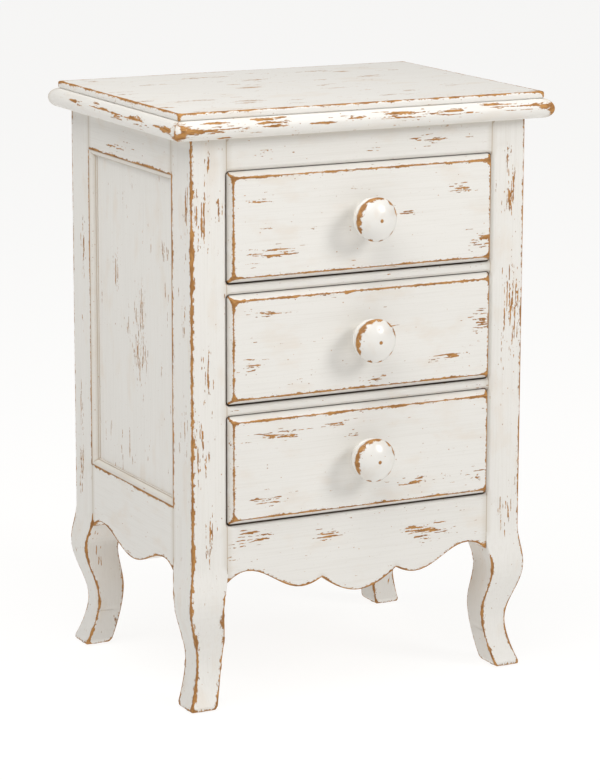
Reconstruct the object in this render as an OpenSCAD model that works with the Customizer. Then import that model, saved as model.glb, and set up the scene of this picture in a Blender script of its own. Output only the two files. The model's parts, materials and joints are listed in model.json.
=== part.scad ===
// Three-drawer painted nightstand in the French country manner.
// The front faces -Y, the floor is z = 0, and x = 0 is the middle of the width.

/* [Case] */
// Width of the case across the posts
body_w = 440; // [400:1:520]
// Depth of the case across the posts
body_d = 343; // [320:1:400]
// Height of the lowest drawer opening's sill above the floor
base_h = 222; // [215:0.1:260]
// Height of one drawer opening
opening_h = 131.6; // [110:0.1:150]
// Height of the rails between the drawers
rail_h = 11.6; // [11:0.1:20]
// Height of the top rail above the top drawer
top_rail_h = 39; // [36:0.1:60]
// Thickness of the rails and aprons
rail_t = 22; // [18:0.5:26]
// Front-to-back width of the rails between the drawers
divider_d = 45; // [34:0.5:48]

/* [Posts and legs] */
// Width of a post seen from the front
post_w = 45; // [42:0.5:50]
// Depth of a post seen from the side
post_d = 53; // [50:0.5:58]
// Height at which the outer faces leave the straight post
knee_top_z = 180; // [172:1:190]
// Height of the knee, where the leg swells most
knee_z = 131; // [122:1:140]
// Height of the ankle, where the leg is drawn in most
ankle_z = 58; // [50:1:66]
// How far the knee stands out past the post
knee_out = 5.6; // [3:0.1:7]
// How far the ankle is drawn in past the post
ankle_in = 10.4; // [6:0.1:13]
// How far the toe stands out past the post
toe_out = 4.5; // [2:0.1:6]
// Height at which the inner curve starts, seen from the front
inner_top_front_z = 165; // [158:1:170]
// Height at which the inner curve starts, seen from the side
inner_top_side_z = 172; // [166:1:178]
// Height of the hollow behind the knee
hollow_z = 127; // [118:1:134]
// Width from the post's face to the hollow, seen from the front
hollow_w = 39; // [34:0.5:41]
// Width from the post's face to the hollow, seen from the side
hollow_d = 41.5; // [36:0.5:44]
// Height of the swelling behind the ankle
heel_z = 76; // [68:1:86]
// Width from the post's face to the swelling, seen from the front
heel_w = 44.6; // [40:0.1:48]
// Width from the post's face to the swelling, seen from the side
heel_d = 46; // [42:0.5:50]
// Width from the post's face to the back of the foot, seen from the front
foot_w = 30; // [28:0.5:36]
// Width from the post's face to the back of the foot, seen from the side
foot_d = 36.5; // [32:0.5:41]
// Diameter of a foot glide
glide_dia = 26; // [18:0.5:28]
// Height of a foot glide below the wood
glide_h = 1.5; // [1:0.5:5]
// Diameter of a glide's nail
glide_nail_dia = 3; // [2:0.5:5]
// Length of a glide's nail in the wood
glide_nail_l = 16; // [10:1:22]

/* [Top] */
// Overhang of the top past the case at each side
top_over_side = 29; // [16:0.5:36]
// Overhang of the top past the case in front
top_over_front = 20; // [12:0.5:30]
// Overhang of the top past the case behind
top_over_back = 3; // [1:0.5:12]
// Thickness of the half-round moulding
nose_t = 23.4; // [16:0.1:26]
// Width of the moulding's strips
nose_w = 41; // [38:0.5:48]
// Thickness of the top board's visible edge
board_edge_t = 8.6; // [6:0.1:14]
// How far the board's edge stays behind the moulding's nose
board_inset = 9; // [5:0.5:12]
// Thickness of the board's core that drops inside the moulding
board_core_t = 12; // [8:0.5:15]

/* [Drawers] */
// Gap round a drawer front in its opening
front_gap = 1.2; // [0.8:0.1:2]
// How far a drawer front sits above the middle of its opening
front_rise = 0.5; // [0:0.1:0.5]
// How far a drawer front stands proud of the rails
front_proud = 7.2; // [4:0.1:9]
// Thickness of a drawer front
front_t = 20; // [19:0.5:24]
// Width of the bevel above and below a drawer front's face
bevel_w = 6.2; // [3:0.1:8]
// Width of the bevel at the sides of a drawer front's face
bevel_side_w = 4; // [3:0.1:8]
// Depth of the bevel round a drawer front
bevel_d = 10.5; // [7:0.1:11]
// Radius of a drawer front's corners and of its opening
corner_r = 5; // [3:0.5:7]
// Width of the chamfer round each opening
cove_w = 3; // [2:0.1:4.5]
// Thickness of a drawer's sides and back
box_t = 12; // [10:0.5:15]
// Free height above a drawer's sides
box_top_gap = 4; // [3:0.5:8]
// Thickness of a drawer's bottom
bottom_t = 5; // [4:0.5:8]
// Height of the bottom panel above the sides' lower edge
bottom_lift = 10; // [9:0.5:14]
// Depth of the grooves and housings in the drawer's pieces
box_groove = 6; // [4:0.5:7]
// Length of the dovetails
tail_l = 8; // [5:0.5:9]
// Number of tails at each front corner of a drawer
tail_count = 3; // [2:1:4]
// Free space behind a closed drawer, up to the back rails
drawer_rear_gap = 8; // [4:1:30]

/* [Knobs] */
// Diameter of a knob's head
knob_dia = 52; // [40:0.5:56]
// Diameter of the base collar
knob_collar_dia = 30; // [24:0.5:34]
// Thickness of the base collar
knob_collar_t = 7; // [5:0.5:8]
// Distance from the drawer front to the head's rim
knob_rim_l = 30; // [26:0.5:34]
// Thickness of the rim's straight edge
knob_rim_t = 1.6; // [1:0.1:3]
// Height of the dome in front of the rim
knob_dome_h = 11.5; // [9:0.5:18]
// How far the turned shoulder behind the head stays inside the rim
knob_shoulder_in = 2; // [1:0.5:4]
// Depth of the turned grooves behind the head
knob_groove = 1.3; // [0.8:0.1:2]
// How far the knobs sit above the middle of the openings
knob_rise = 3.5; // [0:0.5:6]
// Diameter of the knob screw's shank
screw_dia = 4; // [3:0.5:5]
// Length of the screw in the knob
screw_in_knob = 18; // [12:0.5:24]
// Diameter of the knob screw's head
screw_head_dia = 9; // [7:0.5:12]
// Height of the knob screw's head
screw_head_h = 3; // [2:0.5:4]

/* [Sides and back] */
// Height of the side panel's opening above the floor
panel_z = 240; // [236:0.5:262]
// Height of the side top rail
side_rail_h = 47; // [44:0.5:60]
// Thickness of the side panels
panel_t = 6; // [4:0.5:8]
// Depth of the side panels behind the frame's face
panel_recess = 8; // [6:0.5:10]
// Depth of the grooves that hold the side panels
panel_groove = 7; // [5:0.5:9]
// Width of the moulding round the side panels
bead_w = 8; // [5:0.5:11]
// Height of the moulding's inner step above the panel
bead_step = 1.8; // [1:0.1:3]
// Thickness of the back panel
back_t = 5; // [4:0.5:6]
// Depth of the back panel's outer face behind the posts
back_inset = 1; // [0.5:0.5:2]
// Width of the rebate that holds the back panel
back_rebate_w = 10; // [8:0.5:14]
// Thickness of the back rails
back_rail_t = 18; // [15:0.5:20]
// Height of the lower back rail
back_rail_h = 44; // [36:0.5:52]
// Height of the lower back rail's visible edge below the panel
back_reveal = 20; // [12:0.5:24]

/* [Joints and hardware] */
// Length of the rails' tenons
tenon_l = 20; // [14:0.5:24]
// Thickness of the rails' tenons
tenon_t = 10; // [7:0.5:12]
// Shoulder above and below a wide rail's tenon
tenon_shoulder = 10; // [9.5:0.5:12]
// Shoulder above and below a drawer rail's tenon
divider_shoulder = 3; // [2:0.5:4]
// Width of the drawer runners
runner_w = 20; // [16:0.5:26]
// Length of the runners' tongues
tongue_l = 8; // [5:0.5:10]
// Running clearance above the runners
run_gap = 0.3; // [0.2:0.1:1]
// Width of a drawer stop
stop_w = 24; // [16:1:34]
// Height of a drawer stop
stop_h = 7; // [5:0.5:8]
// Depth of a drawer stop
stop_d = 8; // [6:0.5:8.5]
// Side of a corner block
block_w = 34; // [30:1:40]
// Diameter of the wood screws' shanks
wood_screw_dia = 3.5; // [3:0.5:4]
// Diameter of the wood screws' heads
wood_head_dia = 7; // [6:0.5:8]
// Height of the wood screws' heads
wood_head_h = 2; // [1.5:0.5:2.5]
// Length of the runner screws past the runner
runner_screw_l = 18; // [12:0.5:24]
// Length of the top screws past the corner blocks
top_screw_l = 14; // [8:0.5:18]
// Length of the back panel's screws past the panel
back_screw_l = 12; // [8:0.5:16]

/* [Hidden] */
$fn = 64;

PAINT = [0.90, 0.89, 0.86];
BARE_WOOD = [0.76, 0.62, 0.44];
STEEL = [0.66, 0.67, 0.69];
PLASTIC = [0.22, 0.20, 0.18];

// One overrun for every cut
cut = 1;
// Steps along one bend of a curved outline
curve_steps = 10;
// Steps round a quarter of a moulding
arc_steps = 8;

// Heights of the stack of drawers
pitch = opening_h + rail_h;
body_h = base_h + 3 * opening_h + 2 * rail_h + top_rail_h;
top_z = body_h + nose_t + board_edge_t;
panel_top_z = body_h - side_rail_h;

// Half sizes and the case's own faces
half_w = body_w / 2;
half_d = body_d / 2;
open_w = body_w - 2 * post_w;
side_len = body_d - 2 * post_d;

// Outer faces of the top's moulding
top_half_w = half_w + top_over_side;
top_front_y = -half_d - top_over_front;
top_back_y = half_d + top_over_back;
top_d = top_back_y - top_front_y;

// The object's box is centred on the origin, so the case stands a little behind it
knob_l = knob_rim_l + knob_rim_t + knob_dome_h;
reach_front = half_d + front_proud + knob_l;
reach_back = half_d + max(top_over_back, knee_out, toe_out);
case_y = (reach_front - reach_back) / 2;

// Shares that shape the curved outlines
foot_power = 1.6;
lobe_power = 1.9;
cusp_x_share = 0.287;
side_lobe_x_share = 0.44;
arch_x_share = 0.851;
side_arch_y_share = 0.78;
knob_neck_shares = [0.15, 0.35, 0.52, 0.80];

// Heights of the front apron's outline above the floor
apron_lobe_z = 124.3;
apron_cusp_z = 146;
apron_side_lobe_z = 137.8;
apron_arch_z = 165.3;
apron_end_z = 153.5;
// Heights of the side aprons' outline above the floor
side_lobe_z = 148;
side_arch_z = 171;
side_end_z = 160;

// Width of the tenons of the rails between the drawers
divider_tenon_w = 2 * divider_d / 3;

// Drawer box
box_half_w = open_w / 2 - front_gap;
box_h = opening_h - run_gap - box_top_gap;
front_face_y = -half_d - front_proud;
front_back_y = front_face_y + front_t;
box_rear_y = half_d - back_inset - back_t - back_rail_t - drawer_rear_gap;
box_len = box_rear_y - front_back_y;
// The sides' lower edges are eased to clear the round corners of the openings by twice the running gap
box_ease = 2 * corner_r - front_gap - run_gap - sqrt(2) * (corner_r - 2 * run_gap);

// Back rails
back_rail_y = half_d - back_inset - back_t;
back_low_z = base_h - back_rail_h;

// Corner blocks stand on the kickers, inside the rails and the top's moulding
block_z = body_h - top_rail_h + rail_h;
block_top_z = body_h + nose_t - board_core_t;
block_y_front = max(-half_d + rail_t, top_front_y + nose_w);
block_y_back = min(back_rail_y - back_rail_t, top_back_y - nose_w);

// Places of the small hardware
stop_x = open_w / 4;
back_screw_edge = back_rebate_w / 2;
back_screw_inset = back_rail_t / 2;

function ease(a, b, t) = a + (b - a) * (1 - cos(180 * t)) / 2;
function steps(n) = [for (i = [0 : n]) i / n];
function sill_z(level) = base_h + level * pitch;
function runner_front_y(level) = level == 0 || level == 3 ? -half_d + rail_t : -half_d + divider_d;

// Outer outline of a leg: distance inside the post's face, and height
leg_outer = concat(
    [for (t = steps(curve_steps)) [ease(0, -knee_out, t), knee_top_z + (knee_z - knee_top_z) * t]],
    [for (t = steps(curve_steps)) if (t > 0) [ease(-knee_out, ankle_in, t), knee_z + (ankle_z - knee_z) * t]],
    [for (t = steps(curve_steps)) if (t > 0)
        [ankle_in - (ankle_in + toe_out) * pow(t, foot_power), ankle_z + (glide_h - ankle_z) * t]]);

// Inner outline of a leg, from the foot up to the straight post
function leg_inner(post, heel, hollow, foot, top_z) = concat(
    [for (t = steps(curve_steps)) if (t > 0)
        [heel - (heel - foot) * pow(1 - t, foot_power), glide_h + (heel_z - glide_h) * t]],
    [for (t = steps(curve_steps)) if (t > 0) [ease(heel, hollow, t), heel_z + (hollow_z - heel_z) * t]],
    [for (t = steps(curve_steps)) if (t > 0) [ease(hollow, post, t), hollow_z + (top_z - hollow_z) * t]]);

function leg_outline(post, heel, hollow, foot, inner_top) = concat(
    [[0, body_h]], leg_outer, [[foot, glide_h]],
    leg_inner(post, heel, hollow, foot, inner_top), [[post, body_h]]);

// Lower outline of the front apron, on one side of the middle
front_wave = concat(
    [for (t = steps(curve_steps)) [cusp_x_share * t * open_w / 2,
        apron_lobe_z + (apron_cusp_z - apron_lobe_z) * pow(t, lobe_power)]],
    [for (t = steps(curve_steps)) if (t > 0)
        [(cusp_x_share + (side_lobe_x_share - cusp_x_share) * t) * open_w / 2,
        apron_side_lobe_z + (apron_cusp_z - apron_side_lobe_z) * pow(1 - t, 2)]],
    [for (t = steps(curve_steps)) if (t > 0)
        [(side_lobe_x_share + (arch_x_share - side_lobe_x_share) * t) * open_w / 2,
        ease(apron_side_lobe_z, apron_arch_z, t)]],
    [for (t = steps(curve_steps)) if (t > 0)
        [(arch_x_share + (1 - arch_x_share) * t) * open_w / 2,
        apron_arch_z + (apron_end_z - apron_arch_z) * t * t]]);

// Lower outline of a side apron, on one side of the middle
side_wave = concat(
    [for (t = steps(2 * curve_steps)) [side_arch_y_share * t * side_len / 2, ease(side_lobe_z, side_arch_z, t)]],
    [for (t = steps(curve_steps)) if (t > 0)
        [(side_arch_y_share + (1 - side_arch_y_share) * t) * side_len / 2,
        side_arch_z + (side_end_z - side_arch_z) * t * t]]);

// Everything is drawn about the case's middle and then set in its place
module placed() {
    translate([0, case_y, 0]) children();
}

// A box from its lowest corner to its highest
module span(low, high) {
    translate(low) cube(high - low);
}

// Copies a right-hand piece to the side asked for
module on_side(s) {
    if (s > 0) children();
    else mirror([1, 0, 0]) children();
}

// Draws a front piece at the front, or its mirror image at the back
module on_end(front) {
    if (front) children();
    else mirror([0, 1, 0]) children();
}

// The opening of one drawer with round corners, widened by grow
module opening_prism(level, y0, y1, grow) {
    z0 = sill_z(level);
    r = corner_r + grow;
    w = open_w / 2 + grow;
    span([-w, y0, z0 - grow + r], [w, y1, z0 + opening_h + grow - r]);
    span([-w + r, y0, z0 - grow], [w - r, y1, z0 + opening_h + grow]);
    for (sx = [-1, 1], z = [z0 + corner_r, z0 + opening_h - corner_r])
        translate([sx * (open_w / 2 - corner_r), y0, z]) rotate([-90, 0, 0]) cylinder(r = r, h = y1 - y0);
}

// The chamfer round one opening, as a step that widens towards the front
module opening_chamfer(level) {
    z0 = sill_z(level);
    z1 = z0 + opening_h;
    w = open_w / 2;
    y = -half_d;
    out = cove_w + cut;
    translate([-w + corner_r, 0, 0]) rotate([90, 0, 90]) linear_extrude(2 * (w - corner_r))
        polygon([[y - cut, z0 - out], [y - cut, z1 + out], [y + cove_w, z1], [y + cove_w, z0]]);
    translate([0, 0, z0 + corner_r]) linear_extrude(opening_h - 2 * corner_r)
        polygon([[-w - out, y - cut], [w + out, y - cut], [w, y + cove_w], [-w, y + cove_w]]);
    for (sx = [-1, 1], z = [z0 + corner_r, z1 - corner_r])
        translate([sx * (w - corner_r), y - cut, z]) rotate([-90, 0, 0])
            cylinder(r1 = corner_r + out, r2 = corner_r, h = out);
}

module all_chamfers() {
    for (level = [0 : 2]) opening_chamfer(level);
}

// Tenons, cut into the posts and carried by the rails
module front_tenon(z0, z1, y0, t) {
    span([open_w / 2 - cut, y0, z0], [open_w / 2 + tenon_l, y0 + t, z1]);
}

module side_tenon(z0, z1) {
    x0 = half_w - rail_t / 2 - tenon_t / 2;
    span([x0, -side_len / 2 - tenon_l, z0], [x0 + tenon_t, -side_len / 2 + cut, z1]);
}

module top_rail_tenon() {
    front_tenon(body_h - top_rail_h + tenon_shoulder, body_h - tenon_shoulder,
        -half_d + (rail_t - tenon_t) / 2, tenon_t);
}

module divider_tenon(level) {
    z1 = sill_z(level);
    front_tenon(z1 - rail_h + divider_shoulder, z1 - divider_shoulder,
        -half_d + (divider_d - divider_tenon_w) / 2, divider_tenon_w);
}

module apron_tenon() {
    front_tenon(apron_end_z + tenon_shoulder, base_h - tenon_shoulder,
        -half_d + (rail_t - tenon_t) / 2, tenon_t);
}

module side_top_tenon() {
    side_tenon(panel_top_z + tenon_shoulder, body_h - tenon_shoulder);
}

module side_apron_tenon() {
    side_tenon(side_end_z + tenon_shoulder, panel_z - tenon_shoulder);
}

// Back rail tenons are drawn at the back, on the right
module back_tenon(z0, z1) {
    y0 = back_rail_y - back_rail_t / 2 - tenon_t / 2;
    span([open_w / 2 - cut, y0, z0], [open_w / 2 + tenon_l, y0 + tenon_t, z1]);
}

module back_top_tenon() {
    back_tenon(body_h - top_rail_h + tenon_shoulder, body_h - tenon_shoulder);
}

module back_bottom_tenon() {
    back_tenon(back_low_z + tenon_shoulder, base_h - tenon_shoulder);
}

// The side panel with its edges in the grooves, on the right
module side_panel_body() {
    x1 = half_w - panel_recess;
    span([x1 - panel_t, -side_len / 2 - panel_groove, panel_z - panel_groove],
        [x1, side_len / 2 + panel_groove, panel_top_z + panel_groove]);
}

// The back panel in the rebates of the rear posts
module back_panel_body() {
    w = open_w / 2 + back_rebate_w;
    span([-w, back_rail_y, back_low_z + back_reveal], [w, half_d - back_inset, body_h]);
}

// Nail-on glide: a disc under the foot and its nail in the wood, on the front right
module glide_place() {
    translate([half_w - (foot_w - toe_out) / 2, -half_d + (foot_d - toe_out) / 2, 0]) children();
}

module glide_nail() {
    cylinder(d = glide_nail_dia, h = glide_h + glide_nail_l);
}

// Square leg sawn to its curve in both directions, on the front right
module leg_blank() {
    intersection() {
        translate([half_w, 0, 0]) mirror([1, 0, 0]) rotate([90, 0, 0])
            translate([0, 0, -half_d]) linear_extrude(2 * half_d + cut + knee_out)
                polygon(leg_outline(post_w, heel_w, hollow_w, foot_w, inner_top_front_z));
        translate([0, -half_d, 0]) rotate([90, 0, 90])
            linear_extrude(half_w + knee_out + cut)
                polygon(leg_outline(post_d, heel_d, hollow_d, foot_d, inner_top_side_z));
    }
}

module leg(s, front) {
    color(PAINT) placed() on_side(s) difference() {
        on_end(front) leg_blank();
        on_end(front) glide_place() glide_nail();
        on_end(front) side_top_tenon();
        on_end(front) side_apron_tenon();
        side_panel_body();
        if (front) {
            all_chamfers();
            top_rail_tenon();
            apron_tenon();
            for (level = [1, 2]) divider_tenon(level);
        } else {
            back_top_tenon();
            back_bottom_tenon();
            translate([0, cut, 0]) back_panel_body();
            back_panel_body();
        }
        for (level = [0 : 3]) runner_screw(level, front);
        if (!front) back_screw_set();
    }
}

// Half-round strip of the top's moulding, along x, with its nose towards -Y
module nose_strip(len, inner_len) {
    intersection() {
        rotate([90, 0, 90]) translate([0, 0, -len / 2]) linear_extrude(len) {
            translate([nose_t / 2, nose_t / 2]) circle(d = nose_t);
            translate([nose_t / 2, 0]) square([nose_w - nose_t / 2, nose_t]);
        }
        linear_extrude(nose_t)
            polygon([[-len / 2, 0], [len / 2, 0], [inner_len / 2, nose_w], [-inner_len / 2, nose_w]]);
    }
}

module top_moulding_x(front) {
    color(PAINT) placed() translate([0, front ? top_front_y : top_back_y, body_h])
        on_end(front) nose_strip(2 * top_half_w, 2 * (top_half_w - nose_w));
}

module top_moulding_y(s) {
    color(PAINT) placed() on_side(s) translate([top_half_w, (top_front_y + top_back_y) / 2, body_h])
        rotate([0, 0, 90]) nose_strip(top_d, top_d - 2 * nose_w);
}

module top_board() {
    edge_z = body_h + nose_t;
    color(PAINT) placed() difference() {
        union() {
            span([-top_half_w + board_inset, top_front_y + board_inset, edge_z],
                [top_half_w - board_inset, top_back_y - board_inset, top_z]);
            span([-top_half_w + nose_w, top_front_y + nose_w, edge_z - board_core_t],
                [top_half_w - nose_w, top_back_y - nose_w, edge_z]);
        }
        top_screw_set();
    }
}

// A rail of the front frame, with its ears that round the openings' corners
module front_rail(z0, z1, depth) {
    color(PAINT) placed() difference() {
        union() {
            span([-open_w / 2, -half_d, z0], [open_w / 2, -half_d + depth, z1]);
            children(0);
            mirror([1, 0, 0]) children(0);
        }
        for (level = [0 : 2]) opening_prism(level, -half_d - cut, -half_d + depth + cut, 0);
        all_chamfers();
        if ($children > 1) children(1);
    }
}

module front_top_rail() {
    front_rail(body_h - top_rail_h - corner_r, body_h, rail_t) {
        top_rail_tenon();
        for (s = [-1, 1]) on_side(s) runner_bar(3);
    }
}

module divider(level) {
    front_rail(sill_z(level) - rail_h - corner_r, sill_z(level) + corner_r, divider_d) {
        divider_tenon(level);
        for (s = [-1, 1]) on_side(s) runner_bar(level);
    }
}

module front_apron() {
    color(PAINT) placed() difference() {
        union() {
            translate([0, -half_d + rail_t, 0]) rotate([90, 0, 0]) linear_extrude(rail_t)
                polygon(concat([for (p = front_wave) p], [[open_w / 2, base_h + corner_r]],
                    [[-open_w / 2, base_h + corner_r]],
                    [for (i = [len(front_wave) - 1 : -1 : 1]) [-front_wave[i][0], front_wave[i][1]]]));
            apron_tenon();
            mirror([1, 0, 0]) apron_tenon();
        }
        opening_prism(0, -half_d - cut, -half_d + rail_t + cut, 0);
        opening_chamfer(0);
        for (s = [-1, 1]) on_side(s) runner_bar(0);
    }
}

module side_top_rail(s) {
    color(PAINT) placed() on_side(s) difference() {
        union() {
            span([half_w - rail_t, -side_len / 2, panel_top_z], [half_w, side_len / 2, body_h]);
            side_top_tenon();
            mirror([0, 1, 0]) side_top_tenon();
        }
        side_panel_body();
    }
}

module side_apron(s) {
    color(PAINT) placed() on_side(s) difference() {
        union() {
            translate([half_w - rail_t, 0, 0]) rotate([90, 0, 90]) linear_extrude(rail_t)
                polygon(concat([for (p = side_wave) p], [[side_len / 2, panel_z]], [[-side_len / 2, panel_z]],
                    [for (i = [len(side_wave) - 1 : -1 : 1]) [-side_wave[i][0], side_wave[i][1]]]));
            side_apron_tenon();
            mirror([0, 1, 0]) side_apron_tenon();
        }
        side_panel_body();
    }
}

module side_panel(s) {
    color(PAINT) placed() on_side(s) side_panel_body();
}

// Strip of the panel moulding along x: its back against the frame at y = 0, its face up
module bead_strip(len) {
    r = panel_recess - bead_step;
    run = bead_w - bead_step;
    intersection() {
        rotate([90, 0, 90]) translate([0, 0, -len / 2]) linear_extrude(len)
            polygon(concat([[0, 0], [bead_w, 0], [bead_w, bead_step]],
                [for (t = steps(arc_steps)) [run * cos(90 * t), bead_step + r * sin(90 * t)]]));
        linear_extrude(panel_recess)
            polygon([[-len / 2, 0], [len / 2, 0], [len / 2 - bead_w, bead_w], [-len / 2 + bead_w, bead_w]]);
    }
}

module side_moulding(s) {
    h = panel_top_z - panel_z;
    mid_z = (panel_top_z + panel_z) / 2;
    color(PAINT) placed() on_side(s) translate([half_w - panel_recess, 0, mid_z]) rotate([90, 0, 90]) {
        translate([0, -h / 2, 0]) bead_strip(side_len);
        rotate(180) translate([0, -h / 2, 0]) bead_strip(side_len);
        rotate(90) translate([0, -side_len / 2, 0]) bead_strip(h);
        rotate(-90) translate([0, -side_len / 2, 0]) bead_strip(h);
    }
}

module back_panel() {
    color(BARE_WOOD) placed() difference() {
        back_panel_body();
        back_screw_set();
    }
}

module back_rail(z0, z1) {
    color(BARE_WOOD) placed() difference() {
        union() {
            span([-open_w / 2, back_rail_y - back_rail_t, z0], [open_w / 2, back_rail_y, z1]);
            children(0);
            mirror([1, 0, 0]) children(0);
        }
        back_screw_set();
    }
}

module back_top_rail() {
    back_rail(body_h - top_rail_h, body_h) back_top_tenon();
}

module back_bottom_rail() {
    back_rail(back_low_z, base_h) back_bottom_tenon();
}

// Runner under a drawer, on the right, with its tongue in the rail in front
module runner_bar(level) {
    x1 = open_w / 2;
    z1 = sill_z(level);
    y0 = runner_front_y(level);
    span([x1 - runner_w, y0, z1 - rail_h], [x1, back_rail_y - back_rail_t, z1]);
    span([x1 - runner_w, y0 - tongue_l, z1 - 2 * rail_h / 3], [x1, y0 + cut, z1 - rail_h / 3]);
}

// Screw through a runner into a post, on the right
module runner_screw(level, front) {
    y = front ? -half_d + post_d - wood_head_dia / 2 : half_d - 3 * post_d / 4;
    translate([open_w / 2 - runner_w, y, sill_z(level) - rail_h / 2]) rotate([0, 90, 0]) {
        cylinder(d = wood_screw_dia, h = runner_w + runner_screw_l);
        cylinder(d = wood_head_dia, h = wood_head_h);
    }
}

module runner(level, s) {
    color(BARE_WOOD) placed() on_side(s) difference() {
        runner_bar(level);
        for (front = [true, false]) runner_screw(level, front);
    }
}

module runner_screws() {
    color(STEEL) placed() for (s = [-1, 1], level = [0 : 3], front = [true, false])
        on_side(s) runner_screw(level, front);
}

module drawer_stops() {
    y0 = front_back_y + run_gap;
    color(BARE_WOOD) placed() for (level = [0 : 2], sx = [-1, 1])
        translate([sx * stop_x - stop_w / 2, y0, sill_z(level)]) cube([stop_w, stop_d, stop_h]);
}

// Places of the blocks in the upper corners, which carry the screws of the top
module corner_block_places() {
    for (sx = [-1, 1]) {
        translate([sx * (open_w / 2 - block_w / 2), block_y_front + block_w / 2, block_z]) children();
        translate([sx * (open_w / 2 - block_w / 2), block_y_back - block_w / 2, block_z]) children();
    }
}

module top_screw_set() {
    corner_block_places() {
        cylinder(d = wood_screw_dia, h = block_top_z - block_z + top_screw_l);
        cylinder(d = wood_head_dia, h = wood_head_h);
    }
}

module corner_blocks() {
    color(BARE_WOOD) placed() difference() {
        corner_block_places() translate([-block_w / 2, -block_w / 2, 0])
            cube([block_w, block_w, block_top_z - block_z]);
        top_screw_set();
    }
}

module top_screws() {
    color(STEEL) placed() top_screw_set();
}

module back_screw_set() {
    y = half_d - back_inset;
    x1 = open_w / 2 + back_screw_edge;
    z_low = back_low_z + back_reveal + back_screw_inset;
    z_high = body_h - back_screw_inset;
    for (x = [-x1, -x1 / 3, x1 / 3, x1], z = [z_low, z_high]) back_screw(x, y, z);
    for (x = [-x1, x1], z = [z_low + (z_high - z_low) / 3, z_low + 2 * (z_high - z_low) / 3])
        back_screw(x, y, z);
}

module back_screw(x, y, z) {
    translate([x, y, z]) rotate([90, 0, 0]) {
        cylinder(d = wood_screw_dia, h = back_t + back_screw_l);
        translate([0, 0, -wood_head_h / 2]) cylinder(d = wood_head_dia, h = wood_head_h);
    }
}

module back_screws() {
    color(STEEL) placed() back_screw_set();
}

module foot_glides() {
    color(PLASTIC) placed() for (s = [-1, 1], front = [true, false])
        on_side(s) on_end(front) glide_place() {
            cylinder(d = glide_dia, h = glide_h);
            glide_nail();
        }
}

// Sockets and tails at a drawer's front corners, on the right
module tails(level) {
    z0 = sill_z(level) + run_gap;
    step = box_h / tail_count;
    neck = step / 2;
    wide = 2 * step / 3;
    translate([box_half_w - box_t, 0, 0]) rotate([90, 0, 90]) linear_extrude(box_t)
        for (i = [0 : tail_count - 1]) {
            zc = z0 + (i + 1 / 2) * step;
            polygon([[front_back_y, zc - neck / 2], [front_back_y, zc + neck / 2],
                [front_back_y - tail_l, zc + wide / 2], [front_back_y - tail_l, zc - wide / 2]]);
        }
}

module bottom_panel_body(level) {
    z0 = sill_z(level) + run_gap + bottom_lift;
    w = box_half_w - box_t + box_groove;
    span([-w, front_back_y - box_groove, z0], [w, box_rear_y, z0 + bottom_t]);
}

module box_back_body(level) {
    z0 = sill_z(level) + run_gap + bottom_lift + bottom_t;
    w = box_half_w - box_t + box_groove;
    y1 = box_rear_y - box_groove;
    span([-w, y1 - box_t, z0], [w, y1, sill_z(level) + run_gap + box_h - box_groove]);
}

// Centre line of a knob: the drawer front's face, with z pointing out of it
module at_knob(level) {
    translate([0, front_face_y, sill_z(level) + opening_h / 2 + knob_rise]) rotate([90, 0, 0]) children();
}

module knob_screw_body(level) {
    at_knob(level) {
        translate([0, 0, -front_t]) cylinder(d = screw_dia, h = front_t + screw_in_knob);
        translate([0, 0, -front_t - screw_head_h]) cylinder(d = screw_head_dia, h = screw_head_h);
    }
}

// Front: bevelled all round, with round corners, by crossing three outlines
module drawer_front(level) {
    z0 = sill_z(level) + front_gap + front_rise;
    z1 = z0 + opening_h - 2 * front_gap;
    w = box_half_w;
    y0 = front_face_y;
    y1 = front_back_y;
    r = corner_r - front_gap / 2;
    color(PAINT) placed() difference() {
        intersection() {
            translate([0, 0, z0]) linear_extrude(z1 - z0)
                polygon([[-w, y1], [w, y1], [w, y0 + bevel_d], [w - bevel_side_w, y0],
                    [-w + bevel_side_w, y0], [-w, y0 + bevel_d]]);
            translate([-w, 0, 0]) rotate([90, 0, 90]) linear_extrude(2 * w)
                polygon([[y1, z0], [y1, z1], [y0 + bevel_d, z1], [y0, z1 - bevel_w],
                    [y0, z0 + bevel_w], [y0 + bevel_d, z0]]);
            union() {
                span([-w, y0, z0 + r], [w, y1, z1 - r]);
                span([-w + r, y0, z0], [w - r, y1, z1]);
                for (sx = [-1, 1], z = [z0 + r, z1 - r])
                    translate([sx * (w - r), y0, z]) rotate([-90, 0, 0]) cylinder(r = r, h = front_t);
            }
        }
        for (s = [-1, 1]) on_side(s) tails(level);
        bottom_panel_body(level);
        knob_screw_body(level);
    }
}

module drawer_side(level, s) {
    x0 = box_half_w - box_t;
    z0 = sill_z(level) + run_gap;
    color(BARE_WOOD) placed() on_side(s) difference() {
        union() {
            translate([0, box_rear_y, 0]) rotate([90, 0, 0]) linear_extrude(box_len)
                polygon([[x0, z0], [box_half_w - box_ease, z0], [box_half_w, z0 + box_ease],
                    [box_half_w, z0 + box_h], [x0, z0 + box_h]]);
            tails(level);
        }
        bottom_panel_body(level);
        box_back_body(level);
    }
}

module drawer_back(level) {
    color(BARE_WOOD) placed() box_back_body(level);
}

module drawer_bottom(level) {
    color(BARE_WOOD) placed() bottom_panel_body(level);
}

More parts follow.
